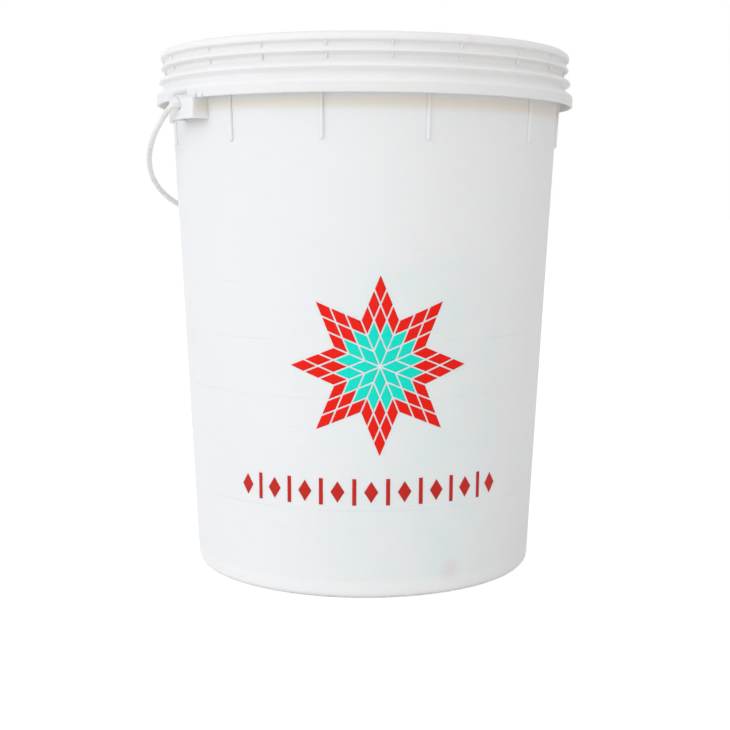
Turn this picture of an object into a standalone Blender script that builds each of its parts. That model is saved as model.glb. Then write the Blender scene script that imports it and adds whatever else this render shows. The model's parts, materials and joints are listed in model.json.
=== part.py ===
"""A twenty litre moulded plastic pail with a wire bail and a turning hand grip.

Metres, +Z up. The origin is the middle of the base, on the surface that the pail stands on.
The two ears lie on the X axis, and the bail hangs at rest on the +Y side.
"""
import math

import bmesh
import bpy

# Vessel: a tapered wall on a flat foot ring
PAIL_HEIGHT = 0.3788
BASE_RADIUS = 0.1268          # where the line of the wall meets the ground
WALL_TAPER_SHARE = 0.04724    # radius gained for each unit of height
WALL = 0.0020
FLOOR = 0.0026
BASE_CORNER_RADIUS = 0.0050
INSIDE_CORNER_RADIUS = 0.0060
FOOT_WIDTH = 0.0070
FOOT_RECESS = 0.0040
FOOT_RUN = 0.0050

# Neck and rim: each drop is measured down from the top edge, each thickness out from the bore of the neck
NECK_STEP = 0.0033            # the bore of the neck stands out from the bore of the vessel
LEDGE = 0.0025
LIP_THICKNESS = 0.0064
LIP_TOP_THICKNESS = 0.0012
LIP_SHOULDER_DROP = 0.0044
LIP_UNDER_DROP = 0.0056
LIP_INNER_ROUND = 0.0008
GROOVE_1_THICKNESS = 0.0039
GROOVE_1_DROP = 0.0082
RING_1_THICKNESS = 0.0062
RING_1_DROP = 0.0127
GROOVE_2_THICKNESS = 0.0023
GROOVE_2_DROP = 0.0168
RING_2_THICKNESS = 0.0079
RING_2_DROP = 0.0222
GROOVE_3_THICKNESS = 0.0043
GROOVE_3_DROP = 0.0262

# Collar: a skirt that hangs below the rim and is open underneath
COLLAR_THICKNESS = 0.0094     # out from the bore of the neck to the face of the band
COLLAR_TOP_DROP = 0.0318
COLLAR_ROOT_DROP = 0.0318
COLLAR_EDGE_DROP = 0.0388
COLLAR_WALL = 0.0020
COLLAR_EDGE_ROUND = 0.0004

# Ribs under the collar, and thin webs across the two upper grooves
RIB_ANGLES = (17.7, 46.0, 73.6)   # degrees from the Y axis, repeated in the four quarters
RIB_WIDTH = 0.0024
RIB_PROUD = 0.0018
RIB_BELOW_COLLAR = 0.0295
# Webs on the front half, in degrees from -Y towards +X; the back half repeats them half a turn round
WEB_ANGLES = (-79.5, -61.7, -44.3, -27.9, -9.7, 9.2, 26.0, 44.3, 61.7, 79.5)
WEB_WIDTH = 0.0016
WEB_THICKNESS = 0.0050

# Ears: a plate that carries on the band of the collar downwards, with two side walls back to the vessel
EAR_PROUD = 0.0004                # the plate stands out from the band of the collar
EAR_HALF_WIDTH = 0.0175
EAR_PLATE = 0.0026
EAR_SIDE_WALL = 0.0022
EAR_BELOW_PIVOT = 0.0092
EAR_TOE_WIDTH = 0.0034
EAR_TOE_LENGTH = 0.0022
EAR_TOE_INSET = 0.0002
GUIDE_DEPTH = 0.0016
GUIDE_TOP_WIDTH = 0.0188
GUIDE_RISE = 0.0077

# Bail: a round wire whose bent ends turn in a hole in each ear
WIRE_RADIUS = 0.0020
PIVOT_BELOW_COLLAR = 0.0043
PIVOT_CLEARANCE = 0.0004
BAIL_RIM_CLEARANCE = 0.0020
PIVOT_BEND_RADIUS = 0.0042
SHOULDER_BEND_REACH = 0.0060
TAIL_LENGTH = 0.0042
TAIL_HEAD_RADIUS = 0.0034
TAIL_HEAD_LENGTH = 0.0012

# Grip: a moulded tube that turns on the middle of the bail
GRIP_LENGTH = 0.1020
GRIP_RADIUS = 0.0090
GRIP_END_RADIUS = 0.0074
GRIP_END_RUN = 0.0050
GRIP_BORE_CLEARANCE = 0.0004
GRIP_END_PLAY = 0.0030
REST_GAP = 0.0003

# Allowances and smoothness
EMBED = 0.0003
OVERRUN = 0.0020
TURN_SEGMENTS = 64
CORNER_STEPS = 4
BEAD_STEPS = 3
HOLE_SEGMENTS = 16
GRIP_SEGMENTS = 24
BAIL_STEPS = 22
WIRE_BEVEL_RESOLUTION = 2
SMOOTH_ANGLE = math.radians(35.0)

# Sizes that follow from the ones above
WALL_LEAN = math.atan(WALL_TAPER_SHARE)
FLOOR_TOP = FOOT_RECESS + FLOOR
COLLAR_ROOT_HEIGHT = PAIL_HEIGHT - COLLAR_ROOT_DROP
COLLAR_EDGE_HEIGHT = PAIL_HEIGHT - COLLAR_EDGE_DROP
LEDGE_HEIGHT = COLLAR_ROOT_HEIGHT + LEDGE
LIP_HEIGHT = PAIL_HEIGHT - LIP_SHOULDER_DROP
NECK_RADIUS = BASE_RADIUS + WALL_TAPER_SHARE * LEDGE_HEIGHT - WALL / math.cos(WALL_LEAN) + NECK_STEP
LIP_RADIUS = NECK_RADIUS + LIP_THICKNESS
COLLAR_RADIUS = NECK_RADIUS + COLLAR_THICKNESS
EAR_FACE = COLLAR_RADIUS + EAR_PROUD
PIVOT_HEIGHT = COLLAR_EDGE_HEIGHT - PIVOT_BELOW_COLLAR
EAR_BOTTOM_HEIGHT = PIVOT_HEIGHT - EAR_BELOW_PIVOT
GUIDE_TOP_HEIGHT = PIVOT_HEIGHT + GUIDE_RISE
RIB_END_HEIGHT = COLLAR_EDGE_HEIGHT - RIB_BELOW_COLLAR
RIM_REACH = math.hypot(LIP_RADIUS, LIP_HEIGHT - PIVOT_HEIGHT)
BAIL_HALF_WIDTH = RIM_REACH + BAIL_RIM_CLEARANCE + WIRE_RADIUS
BAIL_DEPTH = RIM_REACH + BAIL_RIM_CLEARANCE + GRIP_RADIUS
GRIP_SEAT_HALF = GRIP_LENGTH / 2 + GRIP_END_PLAY
HOLE_RADIUS = WIRE_RADIUS + PIVOT_CLEARANCE


def outer_radius(height):
    """Outer radius of the tapered wall."""
    return BASE_RADIUS + WALL_TAPER_SHARE * height


def inner_radius(height):
    """Inner radius of the tapered wall."""
    return outer_radius(height) - WALL / math.cos(WALL_LEAN)


def arc(center_r, center_z, radius, start, end, steps):
    """Points on an arc in the (radius, height) plane, with its angles in radians."""
    points = []
    for step in range(steps + 1):
        angle = start + (end - start) * step / steps
        points.append((center_r + radius * math.cos(angle), center_z + radius * math.sin(angle)))
    return points


def swell(start, end, steps):
    """Points after start up to end whose radius eases in and out, as on a bead."""
    points = []
    for step in range(1, steps + 1):
        share = step / steps
        eased = (1 - math.cos(math.pi * share)) / 2
        points.append((start[0] + (end[0] - start[0]) * eased, start[1] + (end[1] - start[1]) * share))
    return points


def bail_rest_angle():
    """Angle of the hanging bail from straight down, with its grip against the wall."""
    standoff = GRIP_RADIUS + REST_GAP
    wall_reach = outer_radius(PIVOT_HEIGHT) * math.cos(WALL_LEAN)
    return math.asin((standoff + wall_reach) / BAIL_DEPTH) - WALL_LEAN


def clear_scene():
    for item in list(bpy.data.objects):
        bpy.data.objects.remove(item, do_unlink=True)


def make_material(name, colour, roughness, metallic=0.0):
    material = bpy.data.materials.new(name)
    material.use_nodes = True
    shader = material.node_tree.nodes["Principled BSDF"]
    shader.inputs["Base Color"].default_value = (*colour, 1.0)
    shader.inputs["Roughness"].default_value = roughness
    shader.inputs["Metallic"].default_value = metallic
    return material


def add_object(name, data, material=None, parent=None):
    item = bpy.data.objects.new(name, data)
    bpy.context.collection.objects.link(item)
    if material:
        data.materials.append(material)
    item.parent = parent
    return item


def shade(mesh):
    mesh.shade_smooth()
    mesh.set_sharp_from_angle(angle=SMOOTH_ANGLE)


def turned_mesh(name, outline, segments):
    """Turn an outline about Z; it runs up the outer side, then down the inner side."""
    build = bmesh.new()
    rings = []
    for radius, height in outline:
        if radius == 0:
            rings.append([build.verts.new((0, 0, height))] * segments)
            continue
        ring = []
        for index in range(segments):
            angle = math.tau * index / segments
            ring.append(build.verts.new((radius * math.cos(angle), radius * math.sin(angle), height)))
        rings.append(ring)
    closed = outline[0][0] != 0
    pairs = list(zip(rings, rings[1:]))
    if closed:
        pairs.append((rings[-1], rings[0]))
    for lower, upper in pairs:
        for index in range(segments):
            after = (index + 1) % segments
            corners = [lower[index], lower[after], upper[after], upper[index]]
            build.faces.new(list(dict.fromkeys(corners)))
    mesh = bpy.data.meshes.new(name)
    build.to_mesh(mesh)
    build.free()
    return mesh


def add_prism(build, outline, start, end, place):
    """Add a closed prism: an outline of (a, b) points run from start to end along a third axis.

    place(a, b, c) gives the point in space.
    """
    near = [build.verts.new(place(a, b, start)) for a, b in outline]
    far = [build.verts.new(place(a, b, end)) for a, b in outline]
    faces = [build.faces.new(near), build.faces.new(far)]
    for index in range(len(outline)):
        after = (index + 1) % len(outline)
        faces.append(build.faces.new((near[index], near[after], far[after], far[index])))
    bmesh.ops.recalc_face_normals(build, faces=faces)


def add_tool(name, build, owner, operation):
    """Make a mesh into a hidden operand and join it to, or cut it from, its owner."""
    mesh = bpy.data.meshes.new(name)
    build.to_mesh(mesh)
    build.free()
    tool = add_object(name, mesh)
    tool.hide_render = True
    tool.display_type = "WIRE"
    modifier = owner.modifiers.new(name, "BOOLEAN")
    modifier.operation = operation
    modifier.solver = "EXACT"
    modifier.object = tool


def around(angle):
    """Placing function for a piece drawn in a radial plane: (radius, height, sideways)."""
    cosine, sine = math.cos(angle), math.sin(angle)

    def place(radius, height, sideways):
        return (radius * cosine - sideways * sine, radius * sine + sideways * cosine, height)

    return place


def foot_outline():
    """Underside, from the middle of the base out to the foot and up to the wall."""
    corner_center = outer_radius(BASE_CORNER_RADIUS) - BASE_CORNER_RADIUS / math.cos(WALL_LEAN)
    foot_inner = corner_center - FOOT_WIDTH
    outline = [(0, FOOT_RECESS), (foot_inner - FOOT_RUN, FOOT_RECESS), (foot_inner, 0)]
    outline += arc(corner_center, BASE_CORNER_RADIUS, BASE_CORNER_RADIUS,
                   -math.pi / 2, -WALL_LEAN, CORNER_STEPS)
    return outline


def collar_outline():
    """Outer side of the wall's top, the skirt and its band, going up."""
    skirt_inner = COLLAR_RADIUS - COLLAR_WALL
    return [
        (outer_radius(COLLAR_ROOT_HEIGHT), COLLAR_ROOT_HEIGHT),
        (skirt_inner, COLLAR_ROOT_HEIGHT),
        (skirt_inner, COLLAR_EDGE_HEIGHT + COLLAR_EDGE_ROUND),
        (skirt_inner + COLLAR_EDGE_ROUND, COLLAR_EDGE_HEIGHT),
        (COLLAR_RADIUS - COLLAR_EDGE_ROUND, COLLAR_EDGE_HEIGHT),
        (COLLAR_RADIUS, COLLAR_EDGE_HEIGHT + COLLAR_EDGE_ROUND),
        (COLLAR_RADIUS, PAIL_HEIGHT - COLLAR_TOP_DROP),
    ]


def rim_outline():
    """Shoulder, two beads and the lip, from the collar's top up to the top edge."""
    stations = [
        (COLLAR_THICKNESS, COLLAR_TOP_DROP),
        (GROOVE_3_THICKNESS, GROOVE_3_DROP),
        (RING_2_THICKNESS, RING_2_DROP),
        (GROOVE_2_THICKNESS, GROOVE_2_DROP),
        (RING_1_THICKNESS, RING_1_DROP),
        (GROOVE_1_THICKNESS, GROOVE_1_DROP),
        (LIP_THICKNESS, LIP_UNDER_DROP),
    ]
    points = [(NECK_RADIUS + thickness, PAIL_HEIGHT - drop) for thickness, drop in stations]
    outline = []
    for start, end in zip(points, points[1:]):
        outline += swell(start, end, BEAD_STEPS)
    top_radius = NECK_RADIUS + LIP_TOP_THICKNESS
    for step in range(CORNER_STEPS + 1):
        angle = math.pi / 2 * step / CORNER_STEPS
        outline.append((top_radius + (LIP_RADIUS - top_radius) * math.cos(angle),
                        LIP_HEIGHT + LIP_SHOULDER_DROP * math.sin(angle)))
    return outline


def inside_outline():
    """Inner side, from the top edge down the neck, over the ledge and down to the floor."""
    corner_height = FLOOR_TOP + INSIDE_CORNER_RADIUS
    corner_center = inner_radius(corner_height) - INSIDE_CORNER_RADIUS / math.cos(WALL_LEAN)
    outline = [
        (NECK_RADIUS + LIP_INNER_ROUND, PAIL_HEIGHT),
        (NECK_RADIUS, PAIL_HEIGHT - LIP_INNER_ROUND),
        (NECK_RADIUS, LEDGE_HEIGHT + LEDGE),
        (inner_radius(LEDGE_HEIGHT), LEDGE_HEIGHT),
    ]
    outline += arc(corner_center, corner_height, INSIDE_CORNER_RADIUS, -WALL_LEAN, -math.pi / 2, CORNER_STEPS)
    outline.append((0, FLOOR_TOP))
    return outline


def add_ribs(body):
    """Twelve short ribs on the wall, hanging from the root of the collar, round at the lower end."""
    build = bmesh.new()
    round_height = RIB_END_HEIGHT + RIB_PROUD
    top = COLLAR_ROOT_HEIGHT + EMBED
    outline = [(inner_radius(RIB_END_HEIGHT) + WALL / 2, RIB_END_HEIGHT)]
    for step in range(CORNER_STEPS + 1):
        angle = -math.pi / 2 + math.pi / 2 * step / CORNER_STEPS
        height = round_height + RIB_PROUD * math.sin(angle)
        outline.append((outer_radius(height) + RIB_PROUD * math.cos(angle), height))
    outline.append((outer_radius(top) + RIB_PROUD, top))
    outline.append((inner_radius(top) + WALL / 2, top))
    for side in (-math.pi / 2, math.pi / 2):
        for degrees in RIB_ANGLES:
            for sign in (-1, 1):
                place = around(side + sign * math.radians(degrees))
                add_prism(build, outline, -RIB_WIDTH / 2, RIB_WIDTH / 2, place)
    add_tool("ribs", build, body, "UNION")


def add_webs(body):
    """Thin upright webs that bridge the two upper grooves."""
    build = bmesh.new()
    low = PAIL_HEIGHT - (RING_2_DROP + GROOVE_2_DROP) / 2
    high = PAIL_HEIGHT - (LIP_SHOULDER_DROP + LIP_UNDER_DROP) / 2
    root = NECK_RADIUS + GROOVE_2_THICKNESS / 2
    face = NECK_RADIUS + WEB_THICKNESS
    outline = [(root, low), (face, low), (face, high), (root, high)]
    for side in (-math.pi / 2, math.pi / 2):
        for degrees in WEB_ANGLES:
            add_prism(build, outline, -WEB_WIDTH / 2, WEB_WIDTH / 2, around(side + math.radians(degrees)))
    add_tool("webs", build, body, "UNION")


def bowed(radius, half_width):
    """Plan of a face on a circle of this radius, from -half_width to half_width."""
    half_angle = math.asin(half_width / radius)
    return arc(0, 0, radius, -half_angle, half_angle, CORNER_STEPS)


def ear_outline():
    """Plan of an ear: the bowed plate with its two side walls, open towards the vessel."""
    root = math.sqrt(outer_radius(EAR_BOTTOM_HEIGHT) ** 2 - EAR_HALF_WIDTH ** 2) - WALL / 2
    inner_half = EAR_HALF_WIDTH - EAR_SIDE_WALL
    outline = [(root, -EAR_HALF_WIDTH)] + bowed(EAR_FACE, EAR_HALF_WIDTH) + [(root, EAR_HALF_WIDTH)]
    outline += [(root, inner_half)] + bowed(EAR_FACE - EAR_PLATE, inner_half)[::-1] + [(root, -inner_half)]
    return outline


def toe_outline():
    """Plan of the small toe below one corner of the plate, set in from the plate's faces."""
    outside = EAR_HALF_WIDTH - EAR_TOE_INSET
    face = math.sqrt(EAR_FACE ** 2 - EAR_HALF_WIDTH ** 2) - EAR_TOE_INSET
    back = face - EAR_PLATE + EAR_TOE_INSET
    return [
        (back, -outside), (face, -outside),
        (face, EAR_TOE_WIDTH - outside), (back, EAR_TOE_WIDTH - outside),
    ]


def guide_outline():
    """Face view of the tapered recess that leads a wire end down into the pivot hole."""
    half = GUIDE_TOP_WIDTH / 2
    rise = GUIDE_TOP_HEIGHT - PIVOT_HEIGHT
    side_angle = math.atan2(rise, half) + math.acos(HOLE_RADIUS / math.hypot(rise, half))
    points = [(-half, GUIDE_TOP_HEIGHT)]
    start = side_angle
    end = math.pi - side_angle
    for step in range(2 * CORNER_STEPS + 1):
        angle = start + (end + math.tau - start) * step / (2 * CORNER_STEPS)
        points.append((HOLE_RADIUS * math.cos(angle), PIVOT_HEIGHT + HOLE_RADIUS * math.sin(angle)))
    points.append((half, GUIDE_TOP_HEIGHT))
    return points


def add_ears(body):
    """Two ears half a turn apart, each with its guide recess and pivot hole."""
    shells = bmesh.new()
    toes = bmesh.new()
    guides = bmesh.new()
    holes = bmesh.new()
    hole = []
    for index in range(HOLE_SEGMENTS):
        angle = math.tau * (index + 0.5) / HOLE_SEGMENTS
        hole.append((HOLE_RADIUS * math.cos(angle), PIVOT_HEIGHT + HOLE_RADIUS * math.sin(angle)))
    for facing in (0.0, math.pi):
        place = around(facing)

        def upright(radius, sideways, height):
            return place(radius, height, sideways)

        def inward(sideways, height, radius):
            return place(radius, height, sideways)

        add_prism(shells, ear_outline(), EAR_BOTTOM_HEIGHT, COLLAR_ROOT_HEIGHT + EMBED, upright)
        add_prism(toes, toe_outline(), EAR_BOTTOM_HEIGHT - EAR_TOE_LENGTH,
                  EAR_BOTTOM_HEIGHT + EAR_TOE_WIDTH, upright)
        add_prism(guides, guide_outline(), EAR_FACE - GUIDE_DEPTH, EAR_FACE + OVERRUN, inward)
        add_prism(holes, hole, EAR_FACE - EAR_PLATE - OVERRUN, EAR_FACE + OVERRUN, inward)
    add_tool("ear_shells", shells, body, "UNION")
    add_tool("ear_toes", toes, body, "UNION")
    add_tool("ear_guides", guides, body, "DIFFERENCE")
    add_tool("ear_holes", holes, body, "DIFFERENCE")


def make_body(material):
    outline = foot_outline() + collar_outline() + rim_outline() + inside_outline()
    mesh = turned_mesh("pail_body", outline, TURN_SEGMENTS)
    shade(mesh)
    body = add_object("pail_body", mesh, material)
    add_ribs(body)
    add_webs(body)
    add_ears(body)
    return body


def bail_path():
    """Half of the bail as (across, down, wire radius), from its tail to its middle."""
    tail_end = EAR_FACE - EAR_PLATE - TAIL_LENGTH
    head_inner = tail_end + TAIL_HEAD_LENGTH
    path = [
        (tail_end, 0.0, TAIL_HEAD_RADIUS),
        (head_inner, 0.0, TAIL_HEAD_RADIUS),
        (head_inner + EMBED, 0.0, WIRE_RADIUS),
    ]
    bend_center = BAIL_HALF_WIDTH - PIVOT_BEND_RADIUS
    for step in range(CORNER_STEPS + 1):
        angle = -math.pi / 2 + math.pi / 2 * step / CORNER_STEPS
        path.append((bend_center + PIVOT_BEND_RADIUS * math.cos(angle),
                     PIVOT_BEND_RADIUS + PIVOT_BEND_RADIUS * math.sin(angle), WIRE_RADIUS))
    oval_depth = BAIL_DEPTH - PIVOT_BEND_RADIUS
    oval_half = oval_depth / math.sqrt(1 - (GRIP_SEAT_HALF / BAIL_HALF_WIDTH) ** 2)
    last = math.acos((GRIP_SEAT_HALF + SHOULDER_BEND_REACH) / BAIL_HALF_WIDTH)
    for step in range(1, BAIL_STEPS + 1):
        angle = last * step / BAIL_STEPS
        path.append((BAIL_HALF_WIDTH * math.cos(angle),
                     PIVOT_BEND_RADIUS + oval_half * math.sin(angle), WIRE_RADIUS))
    start = path[-1]
    for step in range(1, CORNER_STEPS + 1):
        share = step / CORNER_STEPS
        across = ((1 - share) ** 2 * start[0] + 2 * share * (1 - share) * GRIP_SEAT_HALF
                  + share ** 2 * (GRIP_SEAT_HALF - SHOULDER_BEND_REACH))
        down = (1 - share) ** 2 * start[1] + (1 - (1 - share) ** 2) * BAIL_DEPTH
        path.append((across, down, WIRE_RADIUS))
    return path


def make_bail(material, axle):
    """The bail hangs along -Z of its axle before the axle turns it to its rest angle."""
    half = bail_path()
    points = [(-across, down, radius) for across, down, radius in half]
    points += [(across, down, radius) for across, down, radius in reversed(half)]
    curve = bpy.data.curves.new("bail_wire", "CURVE")
    curve.dimensions = "3D"
    curve.bevel_depth = WIRE_RADIUS
    curve.bevel_resolution = WIRE_BEVEL_RESOLUTION
    curve.use_fill_caps = True
    spline = curve.splines.new("POLY")
    spline.points.add(len(points) - 1)
    for point, (across, down, radius) in zip(spline.points, points):
        point.co = (across, 0.0, -down, 1.0)
        point.radius = radius / WIRE_RADIUS
    return add_object("bail_wire", curve, material, axle)


def grip_outline():
    """Half section of the grip, up its outer side and down its bore."""
    half = GRIP_LENGTH / 2
    bore = WIRE_RADIUS + GRIP_BORE_CLEARANCE
    middle = half - GRIP_END_RUN
    outline = [(bore, -half)]
    outline += [(GRIP_END_RADIUS, -half)]
    outline += swell((GRIP_END_RADIUS, -half), (GRIP_RADIUS, -middle), BEAD_STEPS)
    outline += [(GRIP_RADIUS, middle)]
    outline += swell((GRIP_RADIUS, middle), (GRIP_END_RADIUS, half), BEAD_STEPS)
    outline += [(bore, half)]
    return outline


def make_grip(material, axle):
    mesh = turned_mesh("bail_grip", grip_outline(), GRIP_SEGMENTS)
    shade(mesh)
    grip = add_object("bail_grip", mesh, material, axle)
    grip.location = (0.0, 0.0, -BAIL_DEPTH)
    grip.rotation_euler = (0.0, math.pi / 2, 0.0)
    return grip


def main():
    clear_scene()
    white_plastic = make_material("white_polypropylene", (0.86, 0.86, 0.86), 0.38)
    coated_wire = make_material("white_coated_steel_wire", (0.82, 0.82, 0.81), 0.35)
    grip_plastic = make_material("white_polyethylene", (0.84, 0.84, 0.83), 0.45)
    make_body(white_plastic)
    axle = add_object("bail_axle", None)
    axle.location = (0.0, 0.0, PIVOT_HEIGHT)
    axle.rotation_euler = (bail_rest_angle(), 0.0, 0.0)
    make_bail(coated_wire, axle)
    make_grip(grip_plastic, axle)


main()
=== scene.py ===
# %% [markdown]
# # A white moulded pail with a two-colour print
# This lesson dresses a twenty litre plastic pail. The imported CAD model gives the frame: its bodies,
# its joints and its size. Every piece made here is in metres in that same frame, so nothing is
# fitted by eye afterwards. The first cell loads the frame.

# %% Load the frame
import json
import math

import bmesh
import bpy
from mathutils import Matrix, Vector


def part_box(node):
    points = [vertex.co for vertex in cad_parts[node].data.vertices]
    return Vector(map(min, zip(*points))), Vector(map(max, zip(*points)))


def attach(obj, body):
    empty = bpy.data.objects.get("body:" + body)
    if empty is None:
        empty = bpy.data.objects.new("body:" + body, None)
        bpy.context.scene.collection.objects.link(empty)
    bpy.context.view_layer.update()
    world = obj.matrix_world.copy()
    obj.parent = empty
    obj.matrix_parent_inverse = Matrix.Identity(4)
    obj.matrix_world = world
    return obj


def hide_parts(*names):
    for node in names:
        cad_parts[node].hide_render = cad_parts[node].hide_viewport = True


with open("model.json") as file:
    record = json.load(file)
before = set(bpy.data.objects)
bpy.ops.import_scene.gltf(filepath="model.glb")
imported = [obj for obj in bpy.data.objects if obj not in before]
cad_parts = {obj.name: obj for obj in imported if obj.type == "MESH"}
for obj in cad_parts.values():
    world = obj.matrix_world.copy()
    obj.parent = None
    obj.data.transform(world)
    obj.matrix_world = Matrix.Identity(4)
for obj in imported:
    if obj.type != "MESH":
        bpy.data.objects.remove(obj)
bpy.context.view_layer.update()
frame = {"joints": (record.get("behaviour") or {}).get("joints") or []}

JOINTS = {joint["name"]: joint for joint in frame["joints"]}
print("joints:", sorted(JOINTS))

# %% [markdown]
# Colours are written as sRGB hex values, the way a paint chart or a screen gives them. Blender's
# shaders work in linear light, so one function turns a hex value into linear red, green and blue.
# Every shader and every Geometry Nodes tree here gets its own small function, add, which adds a node.
# A node's inputs are given by name or number, or as a row in the node's own order, and each is a
# constant, a socket, or another node, whose first output is then linked.

# %% Colour and node helpers
def linear(hex_colour):
    """Turn an sRGB hex value such as #F0F0EF into linear red, green, blue and alpha."""
    channels = [int(hex_colour[i:i + 2], 16) / 255 for i in (1, 3, 5)]
    return tuple(c / 12.92 if c <= 0.04045 else ((c + 0.055) / 1.055) ** 2.4 for c in channels) + (1.0,)


def adder(tree):
    """Empty a tree, and give the function that adds a node to it with its settings and its inputs."""
    tree.nodes.clear()

    def add(kind, inputs=(), **settings):
        node = tree.nodes.new(kind)
        for name, value in settings.items():
            setattr(node, name, value)
        for key, value in inputs.items() if isinstance(inputs, dict) else enumerate(inputs):
            if isinstance(value, bpy.types.Node):
                value = value.outputs[0]
            if isinstance(value, bpy.types.NodeSocket):
                tree.links.new(value, node.inputs[key])
            else:
                node.inputs[key].default_value = value
        return node

    return add


def new_material(name):
    """A node material, and the function that adds nodes to it."""
    material = bpy.data.materials.new(name)
    material.use_nodes = True
    return material, adder(material.node_tree)


def linked(name, data):
    """An object that holds some data, put in the scene."""
    holder = bpy.data.objects.new(name, data)
    bpy.context.scene.collection.objects.link(holder)
    return holder


print("white plastic in linear light:", [round(c, 3) for c in linear("#F0F0EF")])

# %% [markdown]
# The camera stands where the photographer's did. Its distance, height, tilt and lens were worked out
# from the ellipses of the rim and the foot. The two ears lie on the X axis, and the photograph looks
# at the pail from a little to the left of its front, which is the azimuth below. Standard is the
# view transform that shows a colour as it is written.

# %% Camera
CAMERA_AZIMUTH = math.radians(-34.7)
CAMERA_DISTANCE = 0.9839
CAMERA_HEIGHT = 0.2696
CAMERA_TILT = math.radians(7.14)
CAMERA_PAN = math.radians(-0.061)
CAMERA_ROLL = math.radians(0.244)
LENS_MM = 63.5

camera_data = bpy.data.cameras.new("camera")
camera_data.lens = LENS_MM
camera_data.sensor_width = 36.0
camera = linked("camera", camera_data)
stand = Matrix.Translation((CAMERA_DISTANCE * math.sin(CAMERA_AZIMUTH),
                            -CAMERA_DISTANCE * math.cos(CAMERA_AZIMUTH), CAMERA_HEIGHT))
aim = (Matrix.Rotation(CAMERA_AZIMUTH + CAMERA_PAN, 4, "Z")
       @ Matrix.Rotation(math.pi / 2 - CAMERA_TILT, 4, "X")
       @ Matrix.Rotation(CAMERA_ROLL, 4, "Z"))
camera.matrix_world = stand @ aim
bpy.context.scene.camera = camera
bpy.context.scene.view_settings.view_transform = "Standard"
print("camera at", [round(c, 3) for c in camera.location])

# %% [markdown]
# The photograph has a plain white ground, and light from all round that is a little stronger from the
# upper left and weaker from the right. A large lamp on the left is the key and a dim one by the camera
# fills. A picture of a studio could light the scene as well, but for an object this plain a few
# numbers do it, and each says what it is for.

# %% Lamps
KEY_POWER = 7.8
FILL_POWER = 4.6
LAMP_SIZE = 1.4
LAMP_TARGET = Vector((0, 0, 0.2))
PURE_WHITE = "#FFFFFF"


def view_point(across, near, up):
    """A point given across the camera's view, towards the camera, and up."""
    right = Vector((math.cos(CAMERA_AZIMUTH), math.sin(CAMERA_AZIMUTH), 0))
    front = Vector((math.sin(CAMERA_AZIMUTH), -math.cos(CAMERA_AZIMUTH), 0))
    return right * across + front * near + Vector((0, 0, up))


def add_lamp(name, location, power, colour):
    """A large round lamp that looks at the middle of the pail."""
    data = bpy.data.lights.new(name, "AREA")
    data.shape = "DISK"
    data.size = LAMP_SIZE
    data.energy = power
    data.color = linear(colour)[:3]
    lamp = linked(name, data)
    lamp.location = location
    lamp.rotation_euler = (LAMP_TARGET - location).to_track_quat("-Z", "Y").to_euler()


add_lamp("key_lamp", view_point(-1.56, 0.9, 0.8), KEY_POWER, "#EEF3FF")
add_lamp("fill_lamp", view_point(0, 1.8, 0.4), FILL_POWER, PURE_WHITE)
print("key", KEY_POWER, "W, fill", FILL_POWER, "W")

# %% [markdown]
# The world gives most of the light, darkened towards the right as if by a black flag. The white of the
# background comes from Light Path: a ray that is seen directly meets plain white, and a ray that
# carries light meets the room, so the background adds no light to the pail.

# %% Light from all round
WORLD_LIGHT = 0.86
FLAG_LIGHT = 0.15
WORLD_TINT = "#FCFDFF"


def seen_directly(add):
    """One for a ray from the camera, a mirror or glass, and zero for a ray that carries light."""
    path = add("ShaderNodeLightPath").outputs
    seen = path["Is Camera Ray"]
    for ray in ("Is Glossy Ray", "Is Transmission Ray"):
        seen = add("ShaderNodeMath", (seen, path[ray]), operation="MAXIMUM")
    return seen


world = bpy.data.worlds.new("studio")
world.use_nodes = True
bpy.context.scene.world = world
add = adder(world.node_tree)
direction = add("ShaderNodeTexCoord").outputs["Object"]
flag_side = tuple(view_point(0.5, -0.85, 0).normalized())
toward_flag = add("ShaderNodeVectorMath", (direction, flag_side), operation="DOT_PRODUCT")
room = add("ShaderNodeMapRange", (toward_flag.outputs["Value"], 0.2, 0.9, WORLD_LIGHT, FLAG_LIGHT))
seen = seen_directly(add)
strength = add("ShaderNodeMix", {0: seen, 2: room, 3: 1.0})
tint = add("ShaderNodeMix", {0: seen, 6: linear(WORLD_TINT), 7: linear(PURE_WHITE)}, data_type="RGBA")
sky = add("ShaderNodeBackground", {"Strength": strength, "Color": tint.outputs[2]})
add("ShaderNodeOutputWorld", {"Surface": sky})
print("world", WORLD_LIGHT, "and", FLAG_LIGHT, "behind the flag")

# %% [markdown]
# The ground is matt white paper: dull, a touch warm, and wide enough that its edge is never seen. It
# keeps the pail's soft shadow. A glow that only a direct ray meets lifts it to the white behind it.

# %% The ground
PAPER = "#E8E7E5"
GROUND_GLOW = 0.60
GROUND_HALF = 20.0

ground_material, add = new_material("white_paper_ground")
paper = add("ShaderNodeBsdfDiffuse", {"Color": linear(PAPER)})
glow = add("ShaderNodeMath", (seen_directly(add), GROUND_GLOW), operation="MULTIPLY")
shine = add("ShaderNodeEmission", {"Strength": glow, "Color": linear(PURE_WHITE)})
lit = add("ShaderNodeAddShader", (paper, shine))
add("ShaderNodeOutputMaterial", {"Surface": lit})
ground_mesh = bpy.data.meshes.new("ground")
ground_corners = [(x * GROUND_HALF, y * GROUND_HALF, 0) for x, y in ((-1, -1), (1, -1), (1, 1), (-1, 1))]
ground_mesh.from_pydata(ground_corners, [], [(0, 1, 2, 3)])
ground_mesh.materials.append(ground_material)
linked("ground", ground_mesh)
print("the ground is", 2 * GROUND_HALF, "m wide")

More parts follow.
